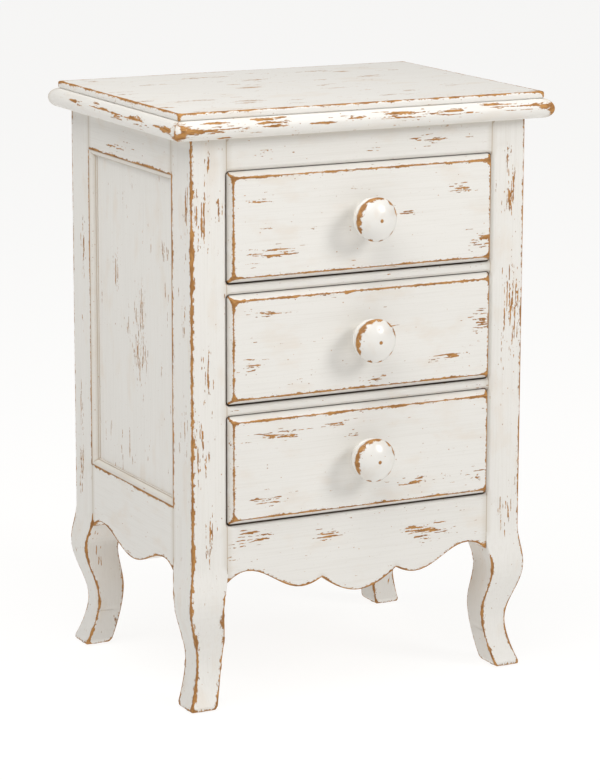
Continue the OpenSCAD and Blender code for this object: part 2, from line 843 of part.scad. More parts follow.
// Turned knob: collar, neck, grooved shoulder behind the rim, and a shallow dome
module drawer_knob(level) {
    r_collar = knob_collar_dia / 2;
    r_head = knob_dia / 2;
    r_shoulder = r_head - knob_shoulder_in;
    rim_z = knob_rim_l + knob_rim_t;
    neck = knob_rim_l - knob_collar_t;
    step = knob_groove;
    function neck_z(i) = knob_collar_t + knob_neck_shares[i] * neck;
    color(PAINT) placed() difference() {
        at_knob(level) rotate_extrude() polygon(concat([
            [0, 0], [r_collar, 0], [r_collar, knob_collar_t - step], [r_collar - step, knob_collar_t],
            [r_collar - step, neck_z(0)], [r_shoulder - step, neck_z(1)], [r_shoulder, neck_z(1) + step],
            [r_shoulder, neck_z(2)], [r_shoulder - step, neck_z(2) + step],
            [r_head - knob_shoulder_in / 2, neck_z(3)], [r_head - step / 2, knob_rim_l - step],
            [r_head, knob_rim_l]],
            [for (t = steps(curve_steps)) [r_head * cos(90 * t), rim_z + knob_dome_h * sin(90 * t)]]));
        knob_screw_body(level);
    }
}

module drawer_knob_screw(level) {
    color(STEEL) placed() knob_screw_body(level);
}

leg(-1, true);  // leg_front_left
leg(1, true);  // leg_front_right
leg(-1, false);  // leg_rear_left
leg(1, false);  // leg_rear_right
top_board();
top_moulding_x(true);  // top_moulding_front
top_moulding_x(false);  // top_moulding_back
top_moulding_y(-1);  // top_moulding_left
top_moulding_y(1);  // top_moulding_right
front_top_rail();
divider(2);  // front_rail_upper
divider(1);  // front_rail_lower
front_apron();
side_top_rail(-1);  // side_top_rail_left
side_top_rail(1);  // side_top_rail_right
side_apron(-1);  // side_apron_left
side_apron(1);  // side_apron_right
side_panel(-1);  // side_panel_left
side_panel(1);  // side_panel_right
side_moulding(-1);  // side_moulding_left
side_moulding(1);  // side_moulding_right
back_panel();
back_top_rail();
back_bottom_rail();
runner(0, -1);  // runner_bottom_left
runner(0, 1);  // runner_bottom_right
runner(1, -1);  // runner_middle_left
runner(1, 1);  // runner_middle_right
runner(2, -1);  // runner_top_left
runner(2, 1);  // runner_top_right
runner(3, -1);  // kicker_left
runner(3, 1);  // kicker_right
drawer_stops();
corner_blocks();
top_screws();
runner_screws();
back_screws();
foot_glides();
drawer_front(2);  // drawer_top_front
drawer_side(2, -1);  // drawer_top_side_left
drawer_side(2, 1);  // drawer_top_side_right
drawer_back(2);  // drawer_top_back
drawer_bottom(2);  // drawer_top_bottom
drawer_knob(2);  // drawer_top_knob
drawer_knob_screw(2);  // drawer_top_knob_screw
drawer_front(1);  // drawer_middle_front
drawer_side(1, -1);  // drawer_middle_side_left
drawer_side(1, 1);  // drawer_middle_side_right
drawer_back(1);  // drawer_middle_back
drawer_bottom(1);  // drawer_middle_bottom
drawer_knob(1);  // drawer_middle_knob
drawer_knob_screw(1);  // drawer_middle_knob_screw
drawer_front(0);  // drawer_bottom_front
drawer_side(0, -1);  // drawer_bottom_side_left
drawer_side(0, 1);  // drawer_bottom_side_right
drawer_back(0);  // drawer_bottom_back
drawer_bottom(0);  // drawer_bottom_bottom
drawer_knob(0);  // drawer_bottom_knob
drawer_knob_screw(0);  // drawer_bottom_knob_screw
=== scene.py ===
# Looks of the three-drawer nightstand: worn antique paint over wood, on a pale studio floor.
# Every painted node gets a finer copy of its own solid. The copy has eased edges, and measured
# distances that drive the wear.
import json
import math
from typing import NamedTuple

import bmesh
import bpy
import numpy as np
from mathutils import Matrix, Vector
from mathutils.bvhtree import BVHTree


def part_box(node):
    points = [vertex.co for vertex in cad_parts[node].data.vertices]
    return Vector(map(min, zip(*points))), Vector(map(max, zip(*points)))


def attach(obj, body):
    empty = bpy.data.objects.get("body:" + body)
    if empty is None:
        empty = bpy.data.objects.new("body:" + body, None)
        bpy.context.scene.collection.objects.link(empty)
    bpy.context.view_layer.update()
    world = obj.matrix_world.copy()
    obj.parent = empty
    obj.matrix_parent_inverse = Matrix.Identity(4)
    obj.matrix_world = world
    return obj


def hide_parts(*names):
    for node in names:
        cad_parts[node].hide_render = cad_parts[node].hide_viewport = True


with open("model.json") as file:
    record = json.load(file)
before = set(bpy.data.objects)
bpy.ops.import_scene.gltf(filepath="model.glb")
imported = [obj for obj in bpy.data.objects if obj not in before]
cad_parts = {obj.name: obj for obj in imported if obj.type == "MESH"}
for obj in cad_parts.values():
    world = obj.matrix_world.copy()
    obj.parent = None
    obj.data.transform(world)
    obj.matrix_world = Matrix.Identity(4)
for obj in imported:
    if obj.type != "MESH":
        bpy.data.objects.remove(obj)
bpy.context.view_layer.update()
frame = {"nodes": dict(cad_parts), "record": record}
scene = bpy.context.scene
MM = 0.001
X, Y, Z = range(3)
GRAIN_NAMES = "xyz"

# Mesh preparation, in metres and degrees
WELD = 1e-6
FLAT_ANGLE = math.radians(0.2)
SHARP_ANGLE = math.radians(50)
SMOOTH_ANGLE = math.radians(38)
TOUCH = 0.25 * MM
EDGE_STEP = 6 * MM
# An edge shorter than this isn't eased
SHORT_EDGE = 1.6 * MM
# The foot's rounding: its height above the floor, and how far the sole is drawn in
FOOT_ROUND_TOP = 7 * MM
FOOT_ROUND = 0.13
# Points of a leg below this height are the corners of its sole
SOLE_TOP = 3 * MM
# Distances from here on count as one, in millimetres
FAR_MM = 60.0
# Points that are compared with all stretches at once
CHUNK = 4000
# Below these, a squared length and an area count as nothing
NO_LENGTH = 1e-18
NO_AREA = 1e-12
# How far a kept place pushes the bare edge away, in millimetres, and how much it outweighs a bald one
KEPT_PUSH = 8
KEPT_WEIGHT = 1.3

# Places on the part, in millimetres
FRAME_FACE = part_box("front_rail_upper")[0][1] / MM
DRAWER_PROUD = 7.2
DRAWER_FACE = FRAME_FACE - DRAWER_PROUD
BEVEL_DEPTH = 10.5
CHAMFER = 3.0
OPENING_HALF = 175.0
OPENINGS_LOW, OPENINGS_HIGH = 222.0, 640.0
# How far past an opening's sides and ends a point still belongs to it
SIDE_SLACK, END_SLACK = 0.3, 0.5
# Below this height a leg is clear of the case
FEET_TOP = OPENINGS_LOW - 2
# How far the painted shade on the feet's inner sides goes towards the tone behind the chamfers
HOLLOW_SHADE = 2.35


def add_object(name, data):
    thing = bpy.data.objects.new(name, data)
    scene.collection.objects.link(thing)
    return thing


# Camera at the photograph's viewpoint, in metres and degrees

CAMERA_PLACE = (-1.75992, -3.43170, 1.18379)
CAMERA_YAW, CAMERA_PITCH, CAMERA_ROLL = -27.10, -12.35, 0.14
# A camera that isn't turned looks straight down
LEVEL_PITCH = 90
FOCAL_PIXELS = 3228.18
PICTURE_HEIGHT = 780
SENSOR_MM = 36
CLIP_NEAR, CLIP_FAR = 0.1, 100


def make_camera():
    data = bpy.data.cameras.new("camera")
    data.sensor_width = SENSOR_MM
    data.lens = FOCAL_PIXELS / PICTURE_HEIGHT * SENSOR_MM
    data.clip_start, data.clip_end = CLIP_NEAR, CLIP_FAR
    camera = add_object("camera", data)
    turn = Matrix.Identity(4)
    for angle, axis in ((CAMERA_YAW, "Z"), (LEVEL_PITCH + CAMERA_PITCH, "X"), (CAMERA_ROLL, "Z")):
        turn = turn @ Matrix.Rotation(math.radians(angle), 4, axis)
    camera.matrix_world = Matrix.Translation(CAMERA_PLACE) @ turn
    scene.camera = camera


# Node trees, written as plain calls

# How far a pattern's shift moves it along each axis
SHIFT_SHARES = (1, 1.7, 2.3)
# The colour mixer's sockets: its share, its two colours, and the result
MIX_SHARE, MIX_A, MIX_B, MIX_RESULT = 0, 6, 7, 2


class Pattern(NamedTuple):
    """A noise pattern, with the size of its features along and across the grain in millimetres.

    Where it makes patches, they start at the first level and are at full strength from the second.
    """

    along: float
    across: float
    shift: float = 0.0
    detail: float = 2.0
    roughness: float = 0.5
    distortion: float = 0.0
    levels: tuple = (0.0, 1.0)
    strength: float = 1.0


class Tree:
    """One material's nodes. Lengths are millimetres."""

    def __init__(self, name):
        self.material = bpy.data.materials.new(name)
        self.material.use_nodes = True
        self.nodes = self.material.node_tree.nodes
        self.links = self.material.node_tree.links
        self.nodes.clear()
        self.shader = self.add("ShaderNodeBsdfPrincipled")
        out = self.add("ShaderNodeOutputMaterial")
        self.links.new(self.shader.outputs[0], out.inputs["Surface"])
        self.place = self.add("ShaderNodeTexCoord").outputs["Object"]

    def set_input(self, socket, value):
        if isinstance(value, bpy.types.NodeSocket):
            self.links.new(value, socket)
        else:
            socket.default_value = value

    def add(self, kind, inputs=None, **settings):
        node = self.nodes.new(kind)
        for name, value in settings.items():
            setattr(node, name, value)
        for name, value in (inputs or {}).items():
            self.set_input(node.inputs[name], value)
        return node

    def math(self, operation, a, b=0.0, c=0.0):
        return self.add("ShaderNodeMath", {0: a, 1: b, 2: c}, operation=operation).outputs[0]

    def largest(self, first, *others):
        for other in others:
            first = self.math("MAXIMUM", first, other)
        return first

    def between(self, share, low, high):
        """low where share is 0, high where it is 1."""
        return self.math("MULTIPLY_ADD", share, high - low, low)

    def attribute(self, name):
        return self.add("ShaderNodeAttribute", attribute_name=name).outputs["Fac"]

    def cells(self, pattern, grain):
        """Object coordinates in units of the pattern's features, which are long on the grain's axis."""
        sizes = [pattern.along if axis == grain else pattern.across for axis in range(3)]
        inputs = {
            "Vector": self.place,
            "Scale": [1 / (size * MM) for size in sizes],
            "Location": [pattern.shift * share for share in SHIFT_SHARES],
        }
        return self.add("ShaderNodeMapping", inputs).outputs[0]

    def noise(self, pattern, grain):
        inputs = {
            "Vector": self.cells(pattern, grain),
            "Scale": 1.0,
            "Detail": pattern.detail,
            "Roughness": pattern.roughness,
            "Distortion": pattern.distortion,
        }
        return self.add("ShaderNodeTexNoise", inputs).outputs["Fac"]

    def ramp(self, value, low, high, strength=1.0):
        """0 up to low, strength from high on, smooth in between. high may be below low."""
        inputs = {"Value": value, "From Min": low, "From Max": high, "To Min": 0.0, "To Max": strength}
        return self.add("ShaderNodeMapRange", inputs, interpolation_type="SMOOTHSTEP").outputs[0]

    def patches(self, pattern, grain, factor=1.0):
        """The pattern's patches, at its strength times factor."""
        return self.ramp(self.noise(pattern, grain), *pattern.levels, pattern.strength * factor)

    def mix(self, share, a, b):
        node = self.add("ShaderNodeMix", data_type="RGBA")
        for index, value in ((MIX_SHARE, share), (MIX_A, a), (MIX_B, b)):
            self.set_input(node.inputs[index], value)
        return node.outputs[MIX_RESULT]

    def finish(self, colour, roughness, height):
        """Connects colour, roughness and a height in millimetres to the shader."""
        bump = self.add("ShaderNodeBump", {"Height": height, "Distance": MM, "Strength": 1.0})
        self.links.new(colour, self.shader.inputs["Base Color"])
        self.links.new(roughness, self.shader.inputs["Roughness"])
        self.links.new(bump.outputs[0], self.shader.inputs["Normal"])
        return self.material


def linear(hex_colour):
    """A hexadecimal screen colour as the shader's linear colour."""
    values = [int(hex_colour[i:i + 2], 16) / 255 for i in (0, 2, 4)]
    return tuple(((v + 0.055) / 1.055) ** 2.4 if v > 0.04045 else v / 12.92 for v in values) + (1.0,)


# Worn paint

PAINT_LIGHT = linear("E6E3DD")
PAINT_GREY = linear("D4CFC6")
PAINT_WARM = linear("DED2C3")
WOOD_LIGHT = linear("B88446")
WOOD_MID = linear("9E6C34")
WOOD_DARK = linear("76502A")
AGED_LIGHT = linear("BC9A70")
AGED_DARK = linear("97734C")
# Unpainted wood in the drawer gaps, darkened as painted shade
GAP_WOOD_SHADE = linear("66513C")
SEAM_TAN = linear("A98F6E")
# Warm grey of the glaze in the brush pricks, also the painted shade along the seams
GLAZE_AND_SHADE = linear("B9AB96")
# Dark brown painted shade for the feet's inner sides and the rear of chamfers and bevels by the gaps
PAINTED_SHADE = linear("4A3C30")

WOOD_FIBRES = Pattern(along=9, across=1.2, detail=3, roughness=0.6, levels=(0.5, 0.72))
WOOD_PATCHES = Pattern(along=14, across=6, shift=3.1, levels=(0.38, 0.62))

STROKES = Pattern(along=75, across=1.7, shift=1.3, detail=4, roughness=0.6,
                  levels=(0.42, 0.75), strength=0.26)
BLOTCHES = Pattern(along=60, across=28, shift=5.2, detail=3, roughness=0.55,
                   levels=(0.52, 0.74), strength=0.40)
PRICKS = Pattern(along=3.2, across=1.3, shift=7.7, detail=3, roughness=0.65,
                 levels=(0.62, 0.76), strength=0.30)
BRUSH_MARKS = Pattern(along=45, across=0.9, shift=9.3, detail=3, roughness=0.6)

# Specks: the pattern's levels and strength give their radius, in cells
SPECKS = Pattern(along=9, across=7, shift=2.0, levels=(0.45, 1.0), strength=0.11)
SPECK_RIM = (0.012, -0.03, 0.75)

# Bare edges: widths and reaches are in millimetres
EDGE_WIDTH = 0.75
EDGE_STRETCHES = Pattern(along=34, across=22, shift=0.7, levels=(0.40, 0.66), strength=1.3)
EDGE_TEETH = Pattern(along=6.5, across=3.0, shift=4.4, detail=4, roughness=0.7,
                     levels=(0.44, 0.74), strength=2.3)
CORNER_REACH = 11.0
CORNER_WIDTH = 2.4
EDGE_CRUMBS = Pattern(along=3.4, across=1.4, shift=1.9, roughness=0.6, levels=(0.83, 0.85))
CRUMB_ZONE = (6.5, 0.5, 0.22)
SOFT_LINE = (0.2, -0.2)

# Streaks: a place's chance of them has a limit, and a weight against the streaks' own noise
STREAKS = Pattern(along=26, across=2.1, shift=6.1, detail=1, roughness=0.4, levels=(0.825, 0.85))
STREAK_TEETH = Pattern(along=5.5, across=1.7, shift=2.7, roughness=0.55, strength=0.65)
STREAK_GROUPS = Pattern(along=60, across=16, shift=8.8, detail=1, levels=(0.60, 0.82), strength=0.55)
CHANCE_LIMIT = 0.78
CHANCE_WEIGHT = 0.37

BALD_OUTLINE = Pattern(along=9, across=1.9, shift=3.3, detail=5, roughness=0.75,
                       levels=(0.44, 0.50), strength=1.8)

# Tones by distance: where one starts and where it is full, in millimetres, and its strength
SEAM_LINE = (0.9, 0.2, 0.6)
# Glaze along the seams, darkened further as painted shade under the top and along the rails
SEAM_GLAZING_AND_SHADE = (9.0, 0.0, 0.30)
# Painted shade: dark brown from just before the chamfers' rear edge
PAINTED_SHADE_ZONE = (-1.0, 0.2, 0.6)
# Behind the chamfers: unpainted wood, darkened as painted shade in the gaps, then lighter aged wood
# further in
REVEAL_ZONE = (0.1, 0.9)
GAP_ZONE = (3.0, 9.0)

# Relief in millimetres, what bare wood and brush marks add to the roughness, and the paint's own
BRUSH_RELIEF = 0.04
CHIP_DEPTH = 0.12
BARE_ROUGHNESS = 0.18
BRUSH_ROUGHNESS = 0.10
PAINT_ROUGHNESS = 0.46
DULL_ROUGHNESS = 0.60


def worn_wood(t, grain):
    """Colour of the wood that shows where the paint is gone."""
    colour = t.mix(t.patches(WOOD_PATCHES, grain), WOOD_MID, WOOD_LIGHT)
    return t.mix(t.patches(WOOD_FIBRES, grain), colour, WOOD_DARK)


def brushed_paint(t, grain):
    """Colour of the sound paint: brush strokes and warm blotches."""
    colour = t.mix(t.patches(STROKES, grain), PAINT_LIGHT, PAINT_GREY)
    colour = t.mix(t.patches(BLOTCHES, grain), colour, PAINT_WARM)
    return t.mix(t.patches(PRICKS, grain), colour, GLAZE_AND_SHADE)


def specks(t, grain):
    """Small scattered dots where the paint is pricked through."""
    inputs = {"Vector": t.cells(SPECKS, grain), "Scale": 1.0, "Randomness": 1.0}
    cells = t.add("ShaderNodeTexVoronoi", inputs)
    chance = t.add("ShaderNodeSeparateColor", {"Color": cells.outputs["Color"]}).outputs[0]
    radius = t.ramp(chance, *SPECKS.levels, SPECKS.strength)
    return t.ramp(t.math("SUBTRACT", cells.outputs["Distance"], radius), *SPECK_RIM)


def edge_wear(t, grain, edge):
    """1 where the paint is rubbed off along free edges.

    The bare band has a width that wanders and teeth, and crumbs lie beside it.
    """
    free, corner = t.attribute("free_edge"), t.attribute("corner")
    stretches = t.patches(EDGE_STRETCHES, grain, edge)
    teeth = t.patches(EDGE_TEETH, grain, edge)
    near = t.ramp(corner, CORNER_REACH, 0.0, CORNER_WIDTH * edge)
    width = t.math("ADD", t.math("ADD", stretches, teeth), t.math("ADD", near, EDGE_WIDTH * edge))
    band = t.ramp(t.math("SUBTRACT", free, width), *SOFT_LINE)
    crumbs = t.math("ADD", t.ramp(free, *CRUMB_ZONE), t.noise(EDGE_CRUMBS, grain))
    return t.largest(band, t.ramp(crumbs, *EDGE_CRUMBS.levels))


def dashes(t, grain, streaks):
    """1 in thin broken streaks along the grain, in loose groups and where a piece is scuffed."""
    teeth = t.math("SUBTRACT", t.noise(STREAK_TEETH, grain), 0.5)
    streak = t.math("MULTIPLY_ADD", teeth, STREAK_TEETH.strength, t.noise(STREAKS, grain))
    chance = t.largest(t.patches(STREAK_GROUPS, grain, streaks), t.attribute("scuff"))
    chance = t.math("MINIMUM", chance, CHANCE_LIMIT)
    return t.ramp(t.math("MULTIPLY_ADD", chance, CHANCE_WEIGHT, streak), *STREAKS.levels)


def bald_patches(t, grain):
    """1 in the larger bare patches, with a ragged outline."""
    ragged = BALD_OUTLINE.strength
    outline = t.math("MULTIPLY_ADD", t.noise(BALD_OUTLINE, grain), ragged, -ragged / 2)
    return t.ramp(t.math("ADD", t.attribute("bald"), outline), *BALD_OUTLINE.levels)


def painted(name, grain, edge=1.0, streaks=1.0, roughness=PAINT_ROUGHNESS):
    """Worn paint. edge scales the bare width along free edges, streaks the chips along the grain."""
    t = Tree(name)
    seam, deep = t.attribute("seam"), t.attribute("deep")
    bare = t.largest(dashes(t, grain, streaks), bald_patches(t, grain), specks(t, grain))
    if edge:
        bare = t.largest(bare, edge_wear(t, grain, edge))

    # Glaze near the seams, also painted shade within nine millimetres of them
    paint = t.mix(t.ramp(seam, *SEAM_GLAZING_AND_SHADE), brushed_paint(t, grain), GLAZE_AND_SHADE)
    paint = t.mix(t.ramp(seam, *SEAM_LINE), paint, SEAM_TAN)
    # Painted shade in the hollows: the feet's inner sides, and the rear of chamfers and bevels by the
    # drawer gaps
    paint = t.mix(t.ramp(deep, *PAINTED_SHADE_ZONE), paint, PAINTED_SHADE)
    colour = t.mix(bare, paint, worn_wood(t, grain))

    brush = t.noise(BRUSH_MARKS, grain)
    # Behind the chamfers: painted gap shade over unpainted wood, giving way to lighter aged wood further
    # in
    gap_shade_and_wood = t.mix(t.ramp(deep, *GAP_ZONE), GAP_WOOD_SHADE, t.mix(brush, AGED_LIGHT, AGED_DARK))
    colour = t.mix(t.ramp(deep, *REVEAL_ZONE), colour, gap_shade_and_wood)
    relief, chips = t.math("MULTIPLY", brush, BRUSH_RELIEF), t.math("MULTIPLY", bare, CHIP_DEPTH)
    dulled = t.math("MULTIPLY_ADD", brush, BRUSH_ROUGHNESS, roughness)
    roughness = t.math("MULTIPLY_ADD", bare, BARE_ROUGHNESS, dulled)
    return t.finish(colour, roughness, t.math("SUBTRACT", relief, chips))


# Unpainted wood, steel and nylon

WOOD_RINGS = Pattern(along=220, across=9, shift=2.2, detail=4, roughness=0.6, distortion=0.6,
                     levels=(0.40, 0.66))
WOOD_PORES = Pattern(along=16, across=0.7, shift=3.7, detail=3, roughness=0.6,
                     levels=(0.56, 0.74), strength=0.45)
WOOD_TONE = Pattern(along=160, across=60, shift=7.0, strength=0.25)
WOOD_RELIEF = 0.08
WOOD_ROUGHNESS = (0.55, 0.75)
# Light and dark tones of the case's unpainted wood and of the drawers' boxes
CASE_WOOD = (linear("C9A471"), linear("A67C4B"))
DRAWER_WOOD = (linear("D9BA8A"), linear("B9935F"))
STEEL_BRUSHING = Pattern(along=2.0, across=0.3, detail=3)
STEEL_TONES = (linear("A9AAAC"), linear("C9CACC"))
STEEL_RELIEF = 0.02
STEEL_ROUGHNESS = (0.28, 0.48)
NYLON_GRAIN = Pattern(along=0.8, across=0.8)
NYLON_TONES = (linear("2B2522"), linear("3A322D"))
NYLON_RELIEF = 0.03
NYLON_ROUGHNESS = (0.5, 0.7)


def plain_wood(name, grain, light, dark):
    """Unpainted wood with growth rings, pores and saw marks."""
    t = Tree(name)
    rings, pores = t.noise(WOOD_RINGS, grain), t.noise(WOOD_PORES, grain)
    tone = t.math("MULTIPLY", t.noise(WOOD_TONE, grain), WOOD_TONE.strength)
    colour = t.mix(t.ramp(rings, *WOOD_RINGS.levels), light, dark)
    colour = t.mix(t.ramp(pores, *WOOD_PORES.levels, WOOD_PORES.strength), colour, dark)
    colour = t.mix(tone, colour, light)
    height = t.math("MULTIPLY", t.math("ADD", rings, pores), WOOD_RELIEF)
    return t.finish(colour, t.between(pores, *WOOD_ROUGHNESS), height)


def steel(name):
    t = Tree(name)
    brushed = t.noise(STEEL_BRUSHING, X)
    t.shader.inputs["Metallic"].default_value = 1.0
    height = t.math("MULTIPLY", brushed, STEEL_RELIEF)
    return t.finish(t.mix(brushed, *STEEL_TONES), t.between(brushed, *STEEL_ROUGHNESS), height)


def nylon(name):
    t = Tree(name)
    speckle = t.noise(NYLON_GRAIN, X)
    height = t.math("MULTIPLY", speckle, NYLON_RELIEF)
    return t.finish(t.mix(speckle, *NYLON_TONES), t.between(speckle, *NYLON_ROUGHNESS), height)


# Finer copies of the painted solids


def flat_solid(node):
    """A node's solid with its triangles joined again into flat faces."""
    bm = bmesh.new()
    bm.from_mesh(frame["nodes"][node].data)
    bmesh.ops.remove_doubles(bm, verts=bm.verts, dist=WELD)
    bmesh.ops.dissolve_limit(bm, angle_limit=FLAT_ANGLE, verts=bm.verts, edges=bm.edges)
    return bm


def neighbours_tree(node, left_out=()):
    """A search tree over every other node that may touch this one."""
    low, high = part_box(node)
    points, faces = [], []
    for other, piece in frame["nodes"].items():
        if other == node or other in left_out:
            continue
        o_low, o_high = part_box(other)
        if any(o_low[i] > high[i] + TOUCH or o_high[i] < low[i] - TOUCH for i in range(3)):
            continue
        start = len(points)
        points += [v.co.copy() for v in piece.data.vertices]
        faces += [[start + i for i in p.vertices] for p in piece.data.polygons]
    return BVHTree.FromPolygons(points, faces) if faces else None


def sharp_edges(bm):
    """Every sharp edge as (edge, True where it is convex)."""
    found = []
    for edge in bm.edges:
        if len(edge.link_faces) == 2:
            angle = edge.calc_face_angle_signed(0.0)
            if abs(angle) > SHARP_ANGLE:
                found.append((edge, angle > 0))
    return found


def edge_pieces(edge):
    """The edge as short stretches, each its two ends."""
    a, b = (v.co.copy() for v in edge.verts)
    count = max(1, math.ceil((b - a).length / EDGE_STEP))
    return [(a.lerp(b, i / count), a.lerp(b, (i + 1) / count)) for i in range(count)]


def sort_edges(bm, tree):
    """Stretches of free edges, stretches of seams, and the edges that stand free all along."""
    free, seams, whole = [], [], []
    for edge, convex in sharp_edges(bm):
        stretches = edge_pieces(edge)
        touching = [
            tree is not None and tree.find_nearest((a + b) / 2, TOUCH)[0] is not None
            for a, b in stretches
        ]
        for stretch, touches in zip(stretches, touching):
            (free if convex and not touches else seams).append(stretch)
        if convex and not any(touching):
            whole.append(edge)
    return free, seams, whole


def distances(points, stretches):
    """Millimetres from each point to the nearest stretch."""
    result = np.full(len(points), FAR_MM)
    if not stretches:
        return result
    starts = np.array([a for a, _ in stretches])
    runs = np.array([b - a for a, b in stretches])
    lengths = np.maximum((runs ** 2).sum(1), NO_LENGTH)
    for i in range(0, len(points), CHUNK):
        part = points[i:i + CHUNK, None, :] - starts[None]
        share = np.clip((part * runs[None]).sum(2) / lengths[None], 0, 1)
        gap = part - share[..., None] * runs[None]
        result[i:i + CHUNK] = np.minimum(np.sqrt((gap ** 2).sum(2)).min(1) / MM, FAR_MM)
    return result


def grid_cut(bm, sizes):
    """Cuts all faces by planes square to the axes, the longest axis first.

    sizes are a cell's lengths in millimetres.
    """
    spans = []
    for axis in range(3):
        values = [v.co[axis] for v in bm.verts]
        spans.append((max(values) - min(values), min(values), axis))
    for span, low, axis in sorted(spans, reverse=True):
        count = math.ceil(span / (sizes[axis] * MM))
        normal = Vector([float(i == axis) for i in range(3)])
        for i in range(1, count):
            everything = bm.verts[:] + bm.edges[:] + bm.faces[:]
            place = normal * (low + span * i / count)
            bmesh.ops.bisect_plane(bm, geom=everything, dist=WELD, plane_co=place, plane_no=normal)


def finished_mesh(bm, node, material):
    """Ends the work on a node's new shape. Returns its mesh, and its points in metres."""
    mesh = bpy.data.meshes.new(node + "_finish")
    bm.to_mesh(mesh)
    bm.free()
    mesh.polygons.foreach_set("use_smooth", [True] * len(mesh.polygons))
    mesh.materials.append(material)
    points = np.empty(len(mesh.vertices) * 3)
    mesh.vertices.foreach_get("co", points)
    return mesh, points.reshape(-1, 3)


def store(mesh, name, values):
    attribute = mesh.attributes.new(name, "FLOAT", "POINT")
    attribute.data.foreach_set("value", np.asarray(values, np.float32))


def vertex_normals(mesh):
    """Each vertex's normal, weighted by the area of its faces, so that slivers don't turn it."""
    normals = np.zeros((len(mesh.vertices), 3))
    for face in mesh.polygons:
        normals[list(face.vertices)] += np.array(face.normal) * face.area
    return normals / np.maximum(np.linalg.norm(normals, axis=1, keepdims=True), NO_AREA)


def gaussians(points, places):
    """The strongest of several soft patches at each point.

    A place is (x, y, z, reach x, reach y, reach z) in millimetres.
    """
    result = np.zeros(len(points))
    for place in places:
        centre, reach = np.array(place[:3]) * MM, np.array(place[3:6]) * MM
        result = np.maximum(result, np.exp(-(((points - centre) / reach) ** 2).sum(1)))
    return result


def nowhere(points, normals):
    return np.full(len(points), -CHAMFER)


def leg_hollow(points, normals):
    """Painted shade on the sides of the feet that face the middle of the piece, just short of bare age.
    """
    inward = -(normals[:, 0] * np.sign(points[:, 0]) + normals[:, 1] * np.sign(points[:, 1]))
    low = points[:, 2] / MM < FEET_TOP
    return -CHAMFER + HOLLOW_SHADE * np.where(low, np.clip(inward, 0, 1), 0)


def in_openings(points, normals):
    """Millimetres behind the chamfers of the drawer openings, for the front frame's pieces."""
    x, y, z = np.abs(points[:, 0]) / MM, points[:, 1] / MM, points[:, 2] / MM
    inside = x < OPENING_HALF + SIDE_SLACK
    inside &= (z > OPENINGS_LOW - END_SLACK) & (z < OPENINGS_HIGH + END_SLACK)
    behind = np.where(inside, y - FRAME_FACE - CHAMFER, -CHAMFER)
    return np.maximum(behind, leg_hollow(points, normals))


def behind_bevel(points, normals):
    """Millimetres behind the bevel of a drawer front."""
    return points[:, 1] / MM - DRAWER_FACE - BEVEL_DEPTH


def round_foot(bm):
    """Draws the lowest part of a leg in towards the middle of its foot."""
    sole = [v.co for v in bm.verts if v.co.z < FOOT_ROUND_TOP]
    middle = sum(sole, Vector()) / len(sole)
    low = min(co.z for co in sole)
    for co in sole:
        share = FOOT_ROUND * (1 - (co.z - low) / (FOOT_ROUND_TOP - low)) ** 2
        co.x += (middle.x - co.x) * share
        co.y += (middle.y - co.y) * share


def dressed(node, material, body="case", cell=(5, 5, 5), ease=1.0, left_out=(), scuffs=(), bald=(),
            kept=(), corners=(), low_corners=False, lines=None, deep=nowhere):
    """Replaces a painted node by a finer copy with eased free edges and the distances its wear needs.

    Scuffs get chips along the grain, bald places lose their paint, kept places keep it, and corners wear
    more. lines, where given, stand for the free edges. deep measures how far a point lies behind the
    chamfers, and on the feet's inner sides it also sets their painted shade. Places are in millimetres.
    """
    bm = flat_solid(node)
    free, seams, whole = sort_edges(bm, neighbours_tree(node, left_out))
    if lines is not None:
        free = [(Vector(a) * MM, Vector(b) * MM) for a, b in lines]
    worn = [Vector(c) * MM for c in corners]
    if low_corners:
        worn += [v.co.copy() for v in bm.verts if v.co.z < SOLE_TOP]
    long_enough = [e for e in whole if e.calc_length() > SHORT_EDGE]
    if long_enough and ease:
        bmesh.ops.bevel(bm, geom=long_enough, offset=ease * MM, offset_type="OFFSET", segments=2,
                        profile=0.5, affect="EDGES", clamp_overlap=False, loop_slide=True)
    grid_cut(bm, cell)
    if low_corners:
        round_foot(bm)
    mesh, points = finished_mesh(bm, node, material)
    safe = gaussians(points, kept)
    store(mesh, "free_edge", distances(points, free) + KEPT_PUSH * safe)
    store(mesh, "seam", distances(points, seams))
    store(mesh, "corner", distances(points, [(c, c) for c in worn]))
    store(mesh, "scuff", gaussians(points, scuffs))
    store(mesh, "bald", gaussians(points, bald) - KEPT_WEIGHT * safe)
    store(mesh, "deep", deep(points, vertex_normals(mesh)))
    mesh.set_sharp_from_angle(angle=SMOOTH_ANGLE)
    piece = add_object(node + "_finish", mesh)
    smooth = piece.modifiers.new("weighted", "WEIGHTED_NORMAL")
    smooth.keep_sharp = True
    smooth.weight = 100
    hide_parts(node)
    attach(piece, body)


# Knobs, turned in one piece. Their lengths are in millimetres

KNOB_SEGMENTS = 96
DOME_STEPS = 22
ROUNDING_PASSES = 2
# How far from a corner of the outline each pass cuts it, as a share of the outline's next piece
CUT_SHARE = 0.25
# Half outline from the drawer's face to the rim, as (radius, distance from the face)
KNOB_TURNING = [
    (15.0, 0.0), (15.0, 5.5), (13.7, 7.0), (13.5, 9.0), (14.2, 10.6), (18.5, 12.8),
    (22.4, 15.0), (24.0, 16.4), (24.0, 18.9), (22.7, 20.2), (22.9, 21.0), (24.4, 23.4),
    (25.0, 26.5), (25.6, 29.4), (26.0, 30.2), (26.0, 31.2),
]
# Distance of the rim's middle from the drawer's face
KNOB_RIM = 31.0
